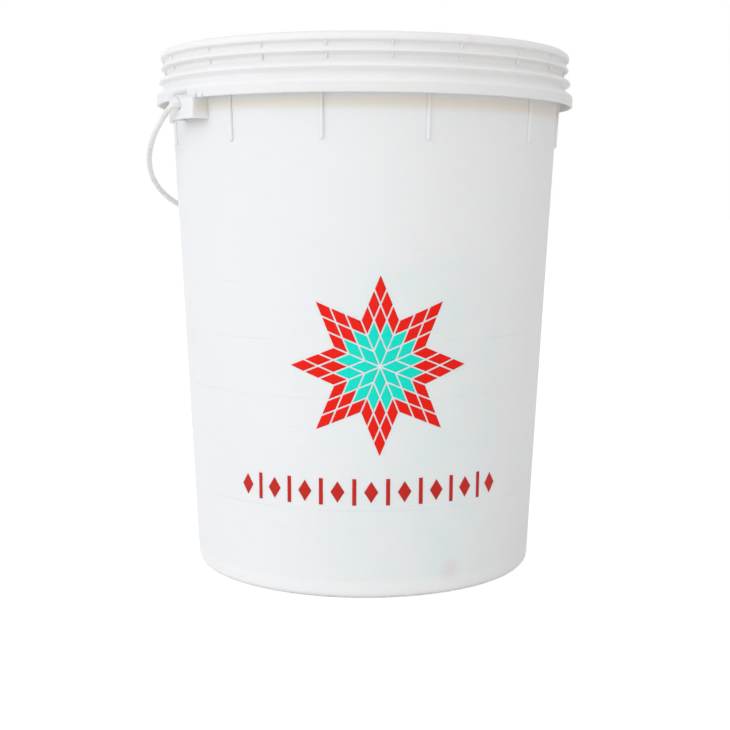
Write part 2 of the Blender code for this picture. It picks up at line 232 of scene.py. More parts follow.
# %% [markdown]
# White polypropylene, injection moulded. Polished steel leaves a satin skin on it with a very faint
# orange peel, and light goes a few millimetres into it, which softens its edges and warms its deep
# corners. Pails rub against each other and against the printing jig, so long fine scratches run round
# the wall. A painted picture could carry all this, but it blurs close up. Patterns worked out from the
# place on the object stay sharp and stay put. The scratches are noise squeezed in height: a noise that
# is stretched in X and Y and fine in Z makes level streaks all the way round and has no seam. Real
# scratches are finer than a tenth of a millimetre, and are drawn coarser here so that they show.

# %% Patterns on the white plastic
WALL_FOOT_RADIUS = 0.1268
WALL_TAPER = 0.04724
PRINT_FACING = CAMERA_AZIMUTH


def level_streaks(add, place, along_mm, across_mm, detail):
    """Noise in level streaks, of a usual length and height given in millimetres."""
    scales = (1000 / along_mm, 1000 / along_mm, 1000 / across_mm)
    squeezed = add("ShaderNodeVectorMath", (place, scales), operation="MULTIPLY")
    return add("ShaderNodeTexNoise", {"Vector": squeezed, "Scale": 1.0, "Detail": detail})


def zone(add, strength, *ranges):
    """A strength kept where each value is in its range: (value, start, full, fading, gone)."""
    for value, start, full, fading, gone in ranges:
        for low, high, first, last in ((start, full, 0.0, 1.0), (fading, gone, 1.0, 0.0)):
            edge = add("ShaderNodeMapRange", (value, low, high, first, last),
                       interpolation_type="SMOOTHSTEP")
            strength = add("ShaderNodeMath", (strength, edge), operation="MULTIPLY")
    return strength


def spot(add, place, center, radius, strength):
    """A strength at a point on the object, fading to zero at a radius."""
    away = add("ShaderNodeVectorMath", (place, center), operation="DISTANCE")
    return add("ShaderNodeMapRange", (away.outputs["Value"], 0.0, radius, strength, 0.0))


print("the wall leans outwards by", round(math.degrees(math.atan(WALL_TAPER)), 2), "degrees")

# %% [markdown]
# A few things tint the plastic on this pail. Below the collar, where the wall sees only more plastic,
# the white is painted warm and darker: painted shade. The collar's face is painted a little darker
# than the crest above it, and the bottoms of the grooves are painted grey: painted shade as well.
# Grit has scuffed the foot. Round the print there is a faint turquoise haze of ink that crept under
# the screen, with level lines where its frame pressed, and two small pink smudges from wet fingers.
# They could be painted on by hand, but a place given in metres fits every side of the pail.
# Each place is written as a range: where it starts, is full, begins to fade and is gone.

# %% Tints of the white plastic
WHITE = "#F3F3F2"
WHITE_DEEP = "#EEEDEC"
SCRATCH_TINT = "#DFDEDC"
SCUFF_TINT = "#CFCCC7"
HAZE_TINT = "#C4EFE9"
LINE_TINT = "#CBD6D5"
SMUDGE_TINT = "#F2A9B2"
PAINTED_SHADE_ZONES = (
    # painted shade below the collar, on the collar's face and in the bottoms of the grooves: tint,
    # strength, range in height, and range in distance out from the wall
    # painted shade below the collar: warm and darker where the wall sees only more plastic
    ("#EAE4DA", 1.0, (0.328, 0.3345, 0.3355, 0.3410), (-0.0006, 0.0, 0.0092, 0.0104)),
    # painted shade: the collar's face a little darker than the crest above it
    ("#E6E5E3", 0.45, (0.3395, 0.3405, 0.3460, 0.3474), (0.0090, 0.0100, 0.0200, 0.0300)),
    # painted shade: the bottoms of the grooves greyed
    ("#E3E1DD", 0.3, (0.346, 0.350, 0.374, 0.377), (0.0010, 0.0016, 0.0030, 0.0074)),
)
SCUFFED_FOOT = (-0.002, -0.001, 0.0006, 0.0030)
PRINTED_SIDE = (-0.5, -0.4, -0.06, -0.04)
HAZE_ACROSS = (-0.080, 0.050, 0.084, 0.100)
HAZE_UP = (0.004, 0.020, 0.225, 0.242)
SCREEN_LINES = (0.0626, 0.1398, 0.1788)
LINE_EDGES = (-0.0007, -0.0001, 0.0001, 0.0007)
SMUDGES = (((-0.0202, -0.1496, 0.3765), 0.0045), ((-0.0127, -0.1272, 0.0170), 0.0110))
SMUDGE_STRENGTH = 0.4
print(len(PAINTED_SHADE_ZONES) + len(SCREEN_LINES) + len(SMUDGES) + 4, "tints lie over the white")

# %% [markdown]
# Three noises and the level streaks make the tints uneven: a broad mottle that runs over all of the
# white, grit for the scuffs, and a cloud for the haze. A place on the pail is read as its height, its
# distance out from the leaning wall, and its distance across the printed side, so that each tint's
# zone, and each zone of painted shade, is a plain range of numbers. A noise alone would put them
# anywhere.

# %% Where each tint lies
MOTTLE_MM = 90.91
GRIT_MM = 3.846
HAZE_CLOUD_MM = 29.41


def pail_tints(add, place, up, radius):
    """The tints with their amounts, in the order in which they are laid over the white."""
    wall = add("ShaderNodeMath", (up, WALL_TAPER, WALL_FOOT_RADIUS), operation="MULTIPLY_ADD")
    out = add("ShaderNodeMath", (radius, wall), operation="SUBTRACT")
    turned = add("ShaderNodeVectorRotate", {"Vector": place, "Angle": -PRINT_FACING},
                 rotation_type="Z_AXIS")
    across = add("ShaderNodeSeparateXYZ", {0: turned}).outputs
    mottle, grit, cloud = [
        add("ShaderNodeTexNoise", {"Vector": place, "Scale": 1000 / size_mm, "Detail": detail})
        for size_mm, detail in ((MOTTLE_MM, 3.0), (GRIT_MM, 5.0), (HAZE_CLOUD_MM, 4.0))
    ]
    streaks = level_streaks(add, place, 70, 0.9, 4.0)
    scratch = add("ShaderNodeMapRange", (streaks, 0.66, 0.76, 0.0, 0.35))
    worn = add("ShaderNodeMapRange", (grit, 0.46, 0.62, 0.0, 0.7))
    haze = add("ShaderNodeMapRange", (cloud, 0.38, 0.68, 0.05, 0.24))
    haze = zone(add, haze, (across["Y"], *PRINTED_SIDE))
    tints = [(WHITE_DEEP, mottle), (SCRATCH_TINT, scratch)]
    # painted shade below the collar, on the collar's face and in the grooves, laid as tints
    for tint, strength, height, depth in PAINTED_SHADE_ZONES:
        tints.append((tint, zone(add, strength, (up, *height), (out, *depth))))
    tints.append((SCUFF_TINT, zone(add, worn, (up, *SCUFFED_FOOT))))
    tints.append((HAZE_TINT, zone(add, haze, (across["X"], *HAZE_ACROSS), (up, *HAZE_UP))))
    for line in SCREEN_LINES:
        tints.append((LINE_TINT, zone(add, haze, (up, *[line + edge for edge in LINE_EDGES]))))
    for center, reach in SMUDGES:
        smudge = spot(add, place, center, reach, SMUDGE_STRENGTH)
        uneven = add("ShaderNodeMath", (smudge, cloud), operation="MULTIPLY")
        tints.append((SMUDGE_TINT, uneven))
    return tints


print("mottle", MOTTLE_MM, "mm, grit", GRIT_MM, "mm, haze", HAZE_CLOUD_MM, "mm")

# %% [markdown]
# The material lays the tints over the white one after another. Its bump has three parts: the orange
# peel, the fine streaks, and rings as fine as a record's groove that the turned steel of the mould
# left, drawn a little coarse. Its roughness follows the streaks, as rubbed plastic is duller. Light
# goes into the plastic a few millimetres, red the furthest.

# %% White polypropylene
PEEL_MM = 1.923
RINGS_MM = 0.625


def make_white_plastic():
    material, add = new_material("moulded_white_polypropylene")
    place = add("ShaderNodeTexCoord").outputs["Object"]
    part = add("ShaderNodeSeparateXYZ", {0: place}).outputs
    plan = add("ShaderNodeCombineXYZ", {"X": part["X"], "Y": part["Y"]})
    radius = add("ShaderNodeVectorMath", {0: plan}, operation="LENGTH").outputs["Value"]
    colour = linear(WHITE)
    for tint, amount in pail_tints(add, place, part["Z"], radius):
        laid = add("ShaderNodeMix", {0: amount, 6: colour, 7: linear(tint)}, data_type="RGBA")
        colour = laid.outputs[2]
    fine_streaks = level_streaks(add, place, 40, 0.35, 2.0)
    rough = add("ShaderNodeMapRange", (fine_streaks, 0.0, 1.0, 0.38, 0.54))
    peel = add("ShaderNodeTexNoise", {"Vector": place, "Scale": 1000 / PEEL_MM, "Detail": 2.0})
    relief = add("ShaderNodeTexNoise", {"W": radius, "Scale": 1000 / RINGS_MM, "Detail": 1.0},
                 noise_dimensions="1D")
    for pattern in (peel, fine_streaks):
        relief = add("ShaderNodeMath", (relief, pattern), operation="ADD")
    bump = add("ShaderNodeBump", {"Height": relief, "Strength": 0.12, "Distance": 0.0002})
    shader = add("ShaderNodeBsdfPrincipled", {
        "Base Color": colour, "Roughness": rough, "IOR": 1.49, "Specular IOR Level": 0.2, "Normal": bump,
        "Subsurface Weight": 0.45, "Subsurface Radius": (0.0036, 0.0028, 0.0022),
        "Subsurface Scale": 1.0,
    })
    add("ShaderNodeOutputMaterial", {"Surface": shader})
    return material


white_plastic = make_white_plastic()
print(white_plastic.name, "has", len(white_plastic.node_tree.nodes), "nodes")

# %% [markdown]
# Geometry Nodes make every piece here that follows a rule. Each tree is built in the script, and its
# sizes are named inputs, so that one tree can make several pieces. It ends in Realize Instances, which
# turns copies into real geometry, and in Set Material.

# %% Start and end a tree
SOCKET_TYPES = {float: "NodeSocketFloat", int: "NodeSocketInt"}


def new_tree(name, inputs):
    """A tree with geometry in and out, the named inputs with their defaults, and a material."""
    tree = bpy.data.node_groups.new(name, "GeometryNodeTree")
    tree.interface.new_socket("Geometry", in_out="INPUT", socket_type="NodeSocketGeometry")
    for label, default in inputs.items():
        kind = SOCKET_TYPES[type(default)]
        tree.interface.new_socket(label, in_out="INPUT", socket_type=kind).default_value = default
    tree.interface.new_socket("Material", in_out="INPUT", socket_type="NodeSocketMaterial")
    tree.interface.new_socket("Geometry", in_out="OUTPUT", socket_type="NodeSocketGeometry")
    add = adder(tree)
    return tree, add, add("NodeGroupInput").outputs


def finish_tree(add, geometry, material):
    """End a tree in real geometry, smooth shading, its material and the output."""
    plain = add("GeometryNodeRealizeInstances", {"Geometry": geometry})
    smooth = add("GeometryNodeSetShadeSmooth", {"Geometry": plain})
    coated = add("GeometryNodeSetMaterial", {"Geometry": smooth, "Material": material})
    add("NodeGroupOutput", {"Geometry": coated})


print("the sizes go in by", *SOCKET_TYPES.values())

# %% [markdown]
# A tree runs as a modifier on a source object. The result becomes an ordinary mesh and the source is
# removed, because the export keeps plain meshes only. Then the piece is dressed: it rides on a body of
# the frame, and stands for a CAD node, whose own mesh is hidden.

# %% Run a tree and dress a piece
def mesh_object(name, points, edges=(), faces=()):
    """A mesh object from plain lists."""
    mesh = bpy.data.meshes.new(name)
    mesh.from_pydata(points, edges, faces)
    return linked(name, mesh)


def made_plain(source, name, tools=()):
    """Evaluate an object's modifiers into a new plain mesh, and remove the source and its tools."""
    graph = bpy.context.evaluated_depsgraph_get()
    mesh = bpy.data.meshes.new_from_object(source.evaluated_get(graph), depsgraph=graph)
    for used in (source, *tools):
        bpy.data.objects.remove(used, do_unlink=True)
    mesh.name = name
    triangles = sum(len(face.vertices) - 2 for face in mesh.polygons)
    print(f"{name}: {len(mesh.vertices)} points, {triangles} triangles")
    return linked(name, mesh)


def run_tree(tree, source, name, **values):
    """Run a tree on a source object; values are its inputs, with underscores for spaces."""
    modifier = source.modifiers.new(tree.name, "NODES")
    modifier.node_group = tree
    for item in tree.interface.items_tree:
        key = item.name.lower().replace(" ", "_")
        if item.in_out == "INPUT" and key in values:
            modifier[item.identifier] = values.pop(key)
    assert not values, f"{tree.name} has no input named {sorted(values)}"
    return made_plain(source, name)


def dress(piece, body, node):
    """Make a piece ride on a body and stand for a CAD node, whose own mesh is hidden."""
    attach(piece, body)
    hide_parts(node)


print("geometry helpers ready")

# %% [markdown]
# Most of this object is turned: the vessel and the grip are outlines spun about an axis. Blender has
# a Screw modifier and a Spin tool for that. Geometry Nodes do the same job as a rule that can be
# read: a flat grid has one row for each point of the outline and one column for each step round, and
# Set Position bends it into place. The tree below is used for both pieces.

# %% A tree that turns an outline about Z
def make_turning_tree():
    tree, add, given = new_tree("turned_about_z", {"Steps round": 320, "Merge distance": 0.00001})
    outline = given["Geometry"]
    size = add("GeometryNodeAttributeDomainSize", {"Geometry": outline})
    rows = size.outputs["Point Count"]
    columns = add("ShaderNodeMath", (given["Steps round"], 1.0), operation="ADD")
    grid = add("GeometryNodeMeshGrid", {"Vertices X": columns, "Vertices Y": rows})
    index = add("GeometryNodeInputIndex")
    row = add("ShaderNodeMath", (index, rows), operation="FLOORED_MODULO")
    place = add("GeometryNodeInputPosition")
    point = add("GeometryNodeSampleIndex", {"Geometry": outline, "Value": place, "Index": row},
                data_type="FLOAT_VECTOR")
    angle = index  # its column, then the share of a turn, then the angle
    for operation, other in (("ADD", 0.5), ("DIVIDE", rows), ("FLOOR", 0.0),
                             ("DIVIDE", given["Steps round"]), ("MULTIPLY", math.tau)):
        angle = add("ShaderNodeMath", (angle, other), operation=operation)
    turned = add("ShaderNodeVectorRotate", {"Vector": point, "Angle": angle}, rotation_type="Z_AXIS")
    bent = add("GeometryNodeSetPosition", {"Geometry": grid, "Position": turned})
    joined = add("GeometryNodeMergeByDistance", {"Geometry": bent, "Distance": given["Merge distance"]})
    finish_tree(add, joined, given["Material"])
    return tree


turning_tree = make_turning_tree()
print("the turning tree has", len(turning_tree.nodes), "nodes")

# %% [markdown]
# An outline drawn with straight lines has knife edges, and no moulding has those: each corner of the
# mould is rounded so that the plastic flows and lets go. A Bevel modifier rounds a finished mesh, but
# one width has to suit every corner. So an outline is written as corners, each with its own rounding,
# and one function puts an arc in each corner. A second one draws the rolling beads of the rim, which
# are broad and full with a narrow groove between them.

# %% Rounded outlines
def rounded(corners, steps=6):
    """Put an arc in each inner corner of a line of (radius, height, rounding) corners."""
    points = [Vector(corners[0][:2])]
    for before, corner, after in zip(corners, corners[1:], corners[2:]):
        here = Vector(corner[:2])
        back = Vector(before[:2]) - here
        ahead = Vector(after[:2]) - here
        half = back.angle(ahead) / 2
        if corner[2] == 0 or half > math.radians(89.5):
            points.append(here)
            continue
        reach = min(corner[2] / math.tan(half), 0.48 * back.length, 0.48 * ahead.length)
        radius = reach * math.tan(half)
        bisector = (back.normalized() + ahead.normalized()).normalized()
        center = here + bisector * (radius / math.sin(half))
        start = here + back.normalized() * reach - center
        end = here + ahead.normalized() * reach - center
        for step in range(steps + 1):
            share = step / steps
            mixed = start * (1 - share) + end * share
            points.append(center + mixed.normalized() * radius)
    points.append(Vector(corners[-1][:2]))
    return [tuple(point) for point in points]


def flank(start, end, lean, steps=12):
    """Points after start up to end, rolling over like a bead; a lean under one turns in sooner."""
    points = []
    for step in range(1, steps + 1):
        share = step / steps
        eased = (1 - math.cos(math.pi * share ** lean)) / 2
        points.append((start[0] + (end[0] - start[0]) * eased, start[1] + (end[1] - start[1]) * share))
    return points


print("a rounded right angle has", len(rounded([(0, 0, 0), (1, 0, 0.2), (1, 1, 0)])), "points")

# %% [markdown]
# The vessel's wall leans outwards so that pails nest. Its foot is a flat ring round a raised floor,
# and its mouth is a thicker neck with a rolled lip, two beads that a lid snaps over, and a collar
# that hangs like a skirt. These sizes repeat the CAD model's, in metres.

# %% Sizes of the vessel
PAIL_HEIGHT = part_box("pail_body")[1].z
WALL = 0.0020
FLOOR_TOP = 0.0066
FOOT_RECESS = 0.0040
FOOT_WIDTH = 0.0070
FOOT_RUN = 0.0050
BASE_CORNER = 0.0050
NECK_STEP = 0.0033
COLLAR_TOP = PAIL_HEIGHT - 0.0318
COLLAR_ROOT = COLLAR_TOP
COLLAR_EDGE = PAIL_HEIGHT - 0.0388
COLLAR_WALL = 0.0020
LEDGE = 0.0025
LEDGE_HEIGHT = COLLAR_ROOT + LEDGE
WALL_LEAN = math.atan(WALL_TAPER)


def outer_radius(height):
    return WALL_FOOT_RADIUS + WALL_TAPER * height


def inner_radius(height):
    return outer_radius(height) - WALL / math.cos(WALL_LEAN)


NECK_RADIUS = inner_radius(LEDGE_HEIGHT) + NECK_STEP
COLLAR_RADIUS = NECK_RADIUS + 0.0094
LIP_RADIUS = NECK_RADIUS + 0.0064
LIP_TOP_RADIUS = NECK_RADIUS + 0.0012
LIP_SHOULDER = PAIL_HEIGHT - 0.0044
RIM_BEADS = (
    # crowns and groove bottoms from the collar up: distance out from the neck's bore, and drop from
    # the top
    (0.0041, 0.0258), (0.0079, 0.0221), (0.0019, 0.0163), (0.0062, 0.0126), (0.0036, 0.0080),
)
BEAD_LEANS = (0.85, 1.2, 0.95, 2.1, 0.8, 1.9)  # how late each flank between them turns in
print("neck", round(NECK_RADIUS * 1000, 2), "mm, collar", round(COLLAR_RADIUS * 1000, 2), "mm")

# %% [markdown]
# The underside shows how the pail was filled: the plastic enters at the middle, so there is the short
# stub of the gate in a shallow dish, then a stiffening ring pressed into the floor. Half way up the
# heel is the fine line where the two halves of the mould meet. The straight wall needs few points,
# and each corner gets the rounding that its place on a mould has.

# %% Outline of the outside
def outside_outline():
    """From the middle of the underside, round the foot and up to the top of the collar."""
    corner_center = outer_radius(BASE_CORNER) - BASE_CORNER / math.cos(WALL_LEAN)
    foot_inner = corner_center - FOOT_WIDTH
    dish = FOOT_RECESS + 0.0008
    parting = 0.0120
    skirt_inner = COLLAR_RADIUS - COLLAR_WALL
    return rounded([
        (0, dish - 0.0016, 0), (0.0020, dish - 0.0016, 0.0004), (0.0026, dish, 0.0004),
        (0.0110, dish, 0.0020), (0.0130, FOOT_RECESS, 0.0010),
        (0.0585, FOOT_RECESS, 0.0005), (0.0592, FOOT_RECESS - 0.0010, 0.0004),
        (0.0608, FOOT_RECESS - 0.0010, 0.0004), (0.0615, FOOT_RECESS, 0.0005),
        (foot_inner - FOOT_RUN, FOOT_RECESS, 0.0030), (foot_inner, 0, 0.0015),
        (outer_radius(0), 0, BASE_CORNER),
        (outer_radius(parting - 0.0004), parting - 0.0004, 0),
        (outer_radius(parting) - 0.00006, parting, 0),
        *[(outer_radius(height), height, 0)
          for height in (parting + 0.0004, PAIL_HEIGHT / 3, 2 * PAIL_HEIGHT / 3)],
        (outer_radius(COLLAR_ROOT), COLLAR_ROOT, 0.0012),
        (skirt_inner, COLLAR_ROOT, 0.0010), (skirt_inner, COLLAR_EDGE, 0.0005),
        (COLLAR_RADIUS, COLLAR_EDGE, 0.0006), (COLLAR_RADIUS, COLLAR_TOP, 0),
    ])


print("the outside has", len(outside_outline()), "points")

# %% [markdown]
# The line goes on up over the beads and the lip, down the neck, over the ledge on which a lid's plug
# stops, and down to the floor. It could be a single skin with a Solidify modifier, but a pail's wall
# is thick at the neck and thin below. One line from the middle of the underside to the middle of the
# floor gives every part its own thickness, and the mesh closes by itself.

# %% Outline of the rim and the inside
def rim_outline():
    """From the top of the collar up over the beads and the lip to the top edge."""
    stations = [(COLLAR_RADIUS, COLLAR_TOP)]
    stations += [(NECK_RADIUS + thickness, PAIL_HEIGHT - drop) for thickness, drop in RIM_BEADS]
    stations.append((LIP_RADIUS, LIP_SHOULDER - 0.0010))
    points = []
    for start, end, lean in zip(stations, stations[1:], BEAD_LEANS):
        points += flank(start, end, lean)
    for step in range(11):
        angle = math.pi / 2 * step / 10
        points.append((LIP_TOP_RADIUS + (LIP_RADIUS - LIP_TOP_RADIUS) * math.cos(angle),
                       LIP_SHOULDER + (PAIL_HEIGHT - LIP_SHOULDER) * math.sin(angle)))
    return points


def inside_outline():
    """From the lip down the neck, over the ledge, down the wall and across the floor."""
    return rounded([
        (LIP_TOP_RADIUS - 0.0001, PAIL_HEIGHT, 0), (NECK_RADIUS, PAIL_HEIGHT, 0.0009),
        (NECK_RADIUS, LEDGE_HEIGHT + LEDGE, 0.0012),
        (inner_radius(LEDGE_HEIGHT), LEDGE_HEIGHT, 0.0012),
        *[(inner_radius(height), height, 0) for height in (2 * PAIL_HEIGHT / 3, PAIL_HEIGHT / 3)],
        (inner_radius(FLOOR_TOP), FLOOR_TOP, 0.0060),
        (0.0120, FLOOR_TOP, 0.0010), (0.0110, FLOOR_TOP - 0.0003, 0.0010), (0, FLOOR_TOP - 0.0003, 0),
    ], 10)


vessel_outline = outside_outline() + rim_outline() + inside_outline()
print("the section of the vessel has", len(vessel_outline), "points")

# %% [markdown]
# The outline goes to the turning tree as a line of points in the XZ plane. The tree turns it in 320
# steps, which leaves the rim smooth from close by.

# %% The vessel
def outline_object(name, outline):
    """A line in the XZ plane for the turning tree, which reads only its points."""
    return mesh_object(name, [(radius, 0, height) for radius, height in outline])


vessel = run_tree(turning_tree, outline_object("vessel_outline", vessel_outline), "vessel",
                  steps_round=320, material=white_plastic)

# %% [markdown]
# Upright bars repeat round the pail: twelve ribs stiffen the wall below the collar, and thin webs
# bridge the two upper grooves. One tree makes both. It shapes one bar from a cylinder, whose section
# becomes a rounded rectangle and whose lower end is rounded off, then sets it on each point of the
# source, turned by the angle that the point carries. An Array modifier would do for even steps, but
# these bars stand unevenly, to leave room for the ears.

# %% A tree that sets upright bars round the pail
def make_bar_tree():
    tree, add, given = new_tree("upright_bars", {
        "Low": 0.0, "High": 0.0, "Radius at low": 0.0, "Radius at high": 0.0,
        "Half width": 0.0, "Proud": 0.0, "End length": 0.0, "Squareness": 0.0,
    })
    bar = add("GeometryNodeMeshCylinder",
              {"Vertices": 20, "Side Segments": 26, "Radius": 1.0, "Depth": 1.0}).outputs["Mesh"]
    position = add("GeometryNodeInputPosition")
    place = add("ShaderNodeSeparateXYZ", {0: position}).outputs
    along = add("ShaderNodeMath", (place["Z"], 0.5), operation="ADD")
    dense = add("ShaderNodeMath", (along, 2.0), operation="POWER")
    height = add("ShaderNodeMapRange", (dense, 0.0, 1.0, given["Low"], given["High"]))
    wall = add("ShaderNodeMapRange", (dense, 0.0, 1.0, given["Radius at low"], given["Radius at high"]))
    rise = add("ShaderNodeMath", (height, given["Low"]), operation="SUBTRACT")
    reach = add("ShaderNodeMapRange", (rise, 0.0, given["End length"], 1.0, 0.0))
    squared = add("ShaderNodeMath", (reach, 2.0), operation="POWER")
    left_over = add("ShaderNodeMath", (1.0, squared), operation="SUBTRACT")
    round_end = add("ShaderNodeMath", {0: left_over}, operation="SQRT")
    sides = []
    for axis, size in (("X", "Proud"), ("Y", "Half width")):
        size_here = add("ShaderNodeMath", (round_end, given[size]), operation="MULTIPLY")
        signed = add("ShaderNodeMath", {0: place[axis]}, operation="SIGN")
        side = place[axis]
        for operation, other in (("ABSOLUTE", 0.0), ("POWER", given["Squareness"]),
                                 ("MULTIPLY", signed), ("MULTIPLY", size_here)):
            side = add("ShaderNodeMath", (side, other), operation=operation)
        sides.append(side)
    out = add("ShaderNodeMath", (wall, sides[0]), operation="ADD")
    corner = add("ShaderNodeCombineXYZ", {"X": out, "Y": sides[1], "Z": height})
    shaped_bar = add("GeometryNodeSetPosition", {"Geometry": bar, "Position": corner})
    turn = add("GeometryNodeInputNamedAttribute", {"Name": "turn"}, data_type="FLOAT")
    turned = add("ShaderNodeCombineXYZ", {"Z": turn})
    ring = add("GeometryNodeInstanceOnPoints",
               {"Points": given["Geometry"], "Instance": shaped_bar, "Rotation": turned})
    finish_tree(add, ring, given["Material"])
    return tree


bar_tree = make_bar_tree()
print("the bar tree has", len(bar_tree.nodes), "nodes")

# %% [markdown]
# The ribs stand in the same places on both halves of the pail, and so do the webs, but clear of the
# ears. A web follows the slope of its groove, so it has a radius at its foot and another at its head.

# %% Ribs and webs
RIB_ANGLES = (17.7, 46.0, 73.6)
RIB_LOW = 0.3105
WEB_ANGLES = (-79.5, -61.7, -44.3, -27.9, -9.7, 9.2, 26.0, 44.3, 61.7, 79.5)
WEBS = (
    # each groove's webs: lower end, upper end, and the radius at each
    (PAIL_HEIGHT - 0.0106, PAIL_HEIGHT - 0.0048, NECK_RADIUS + 0.0032, NECK_RADIUS + 0.0044),
    (PAIL_HEIGHT - 0.0186, PAIL_HEIGHT - 0.0126, NECK_RADIUS + 0.0014, NECK_RADIUS + 0.0038),
)


def points_with_turns(name, degrees):
    """Points on the axis, each with the angle, from -Y towards +X, that its bar is turned to."""
    source = mesh_object(name, [(0, 0, 0)] * len(degrees))
    turns = source.data.attributes.new("turn", "FLOAT", "POINT")
    turns.data.foreach_set("value", [math.radians(angle - 90) for angle in degrees])
    return source


rib_turns = [face + side * angle for face in (0, 180) for side in (-1, 1) for angle in RIB_ANGLES]
ribs = run_tree(bar_tree, points_with_turns("rib_turns", rib_turns), "collar_ribs",
                low=RIB_LOW, high=COLLAR_ROOT + 0.0005,
                radius_at_low=outer_radius(RIB_LOW) - 0.0001, radius_at_high=outer_radius(COLLAR_ROOT),
                half_width=0.0014, proud=0.0019, end_length=0.0016, squareness=0.7,
                material=white_plastic)
web_turns = [face + angle for face in (0, 180) for angle in WEB_ANGLES]
webs = [
    run_tree(bar_tree, points_with_turns("web_turns", web_turns), f"webs_groove_{groove}",
             low=low, high=high, radius_at_low=radius_at_low, radius_at_high=radius_at_high,
             half_width=0.0010, proud=0.0011, end_length=0.0012, squareness=1.3,
             material=white_plastic)
    for groove, (low, high, radius_at_low, radius_at_high) in enumerate(WEBS, 1)
]

# %% [markdown]
# The ears carry the bail. Each is a plate that carries on the collar's band downwards, with a side
# wall at each end, a tapered dimple that leads the wire down into its hole, and a small toe at one
# lower corner. Modelled by hand, it would need a careful flow of faces round the dimple and its hole.
# A moulding like this has no sharp corner anywhere, so here the solids are cut and joined plainly,
# remeshed to even small cells, and smoothed, which rounds every edge by half a millimetre. Each solid
# is lofted: one outline is joined to the next.

# %% Sizes of the ears, and a loft
EAR_FACE = COLLAR_RADIUS + 0.0004
EAR_HALF_WIDTH = 0.0175
EAR_PLATE = 0.0026
EAR_SIDE_WALL = 0.0022
PIVOT_HEIGHT = JOINTS["bail_swing"]["pos_m"][2]
EAR_BOTTOM = PIVOT_HEIGHT - 0.0092
HOLE_RADIUS = 0.0024
GUIDE_TOP = PIVOT_HEIGHT + 0.0077
GUIDE_HALF_WIDTH = 0.0084


def lofted(name, loops):
    """A closed solid through loops of points, each loop with the same number of points."""
    count = len(loops[0])
    points = [point for loop in loops for point in loop]
    faces = [tuple(range(count))[::-1], tuple(range(len(points) - count, len(points)))]
    for row in range(len(loops) - 1):
        for index in range(count):
            after = (index + 1) % count
            faces.append((row * count + index, row * count + after,
                          (row + 1) * count + after, (row + 1) * count + index))
    solid = mesh_object(name, points, [], faces)
    build = bmesh.new()
    build.from_mesh(solid.data)
    bmesh.ops.recalc_face_normals(build, faces=build.faces)
    build.to_mesh(solid.data)
    build.free()
    return solid


print("ears", round(EAR_HALF_WIDTH * 2000, 1), "mm wide, pivots", round(PIVOT_HEIGHT * 1000, 1), "mm up")

# %% [markdown]
# Three outlines describe the ear: its plan at a height, and the face views of the dimple and of the
# hole at its lower end. The dimple's sides touch the round of the hole, so the wire can't catch.

# %% Outlines of the ear
def ear_plan(face, height):
    """Plan of the ear at a height: a bowed plate with its two side walls, open towards the vessel."""
    root = math.sqrt(outer_radius(height) ** 2 - EAR_HALF_WIDTH ** 2) - WALL / 2
    inner_half = EAR_HALF_WIDTH - EAR_SIDE_WALL
    plan = [(root, -EAR_HALF_WIDTH)]
    for radius, half, flip in ((face, EAR_HALF_WIDTH, 1), (face - EAR_PLATE, inner_half, -1)):
        spread = math.asin(half / radius)
        bow = [-spread + 2 * spread * step / 16 for step in range(17)]
        curve = [(radius * math.cos(angle), radius * math.sin(angle)) for angle in bow]
        if flip > 0:
            plan += curve + [(root, EAR_HALF_WIDTH), (root, inner_half)]
        else:
            plan += curve[::-1] + [(root, -inner_half)]
    return [(x, y, height) for x, y in plan]


def guide_face(spread, radius):
    """Face view of the dimple over the hole, spread outwards by a distance, at a radius."""
    hole = HOLE_RADIUS + spread
    half = GUIDE_HALF_WIDTH + spread
    top = GUIDE_TOP + spread * 0.4
    rise = top - PIVOT_HEIGHT
    side = math.atan2(rise, half) + math.acos(hole / math.hypot(rise, half))
    loop = [(-half, top)]
    for step in range(13):
        angle = side + (math.pi - 2 * side + math.tau) * step / 12
        loop.append((hole * math.cos(angle), PIVOT_HEIGHT + hole * math.sin(angle)))
    loop.append((half, top))
    return [(radius, across, height) for across, height in loop]


def round_face(radius, hole):
    """Face view of a round hole about the pivot, at a radius."""
    turns = [math.tau * step / 24 for step in range(24)]
    return [(radius, hole * math.cos(turn), PIVOT_HEIGHT + hole * math.sin(turn)) for turn in turns]


print("the plan of the ear has", len(ear_plan(EAR_FACE, EAR_BOTTOM)), "points")

# %% [markdown]
# A Boolean modifier cuts one solid with another. The band of the collar is opened over each dimple,
# and its lower edge has two small notches beside each ear.

# %% Cut the collar
NOTCHES = ((8.0, 0.0009, 0.0018), (10.6, 0.0007, 0.0012))  # degrees from the ear, half width, height


def cut_or_join(target, tool, operation):
    modifier = target.modifiers.new(tool.name, "BOOLEAN")
    modifier.operation = operation
    modifier.solver = "EXACT"
    modifier.object = tool
    tool.hide_render = True


def notch(degrees, half, rise):
    """A small slot in the lower edge of the collar, beside the ear on the +X side."""
    low = COLLAR_EDGE - 0.0010
    top = COLLAR_EDGE + rise
    corners = ((-half, low), (half, low), (0.7 * half, top), (-0.7 * half, top))
    slot = lofted("notch", [[(radius, across, height) for across, height in corners]
                            for radius in (COLLAR_RADIUS - 0.0035, COLLAR_RADIUS + 0.0020)])
    slot.data.transform(Matrix.Rotation(math.radians(degrees), 4, "Z"))
    return slot


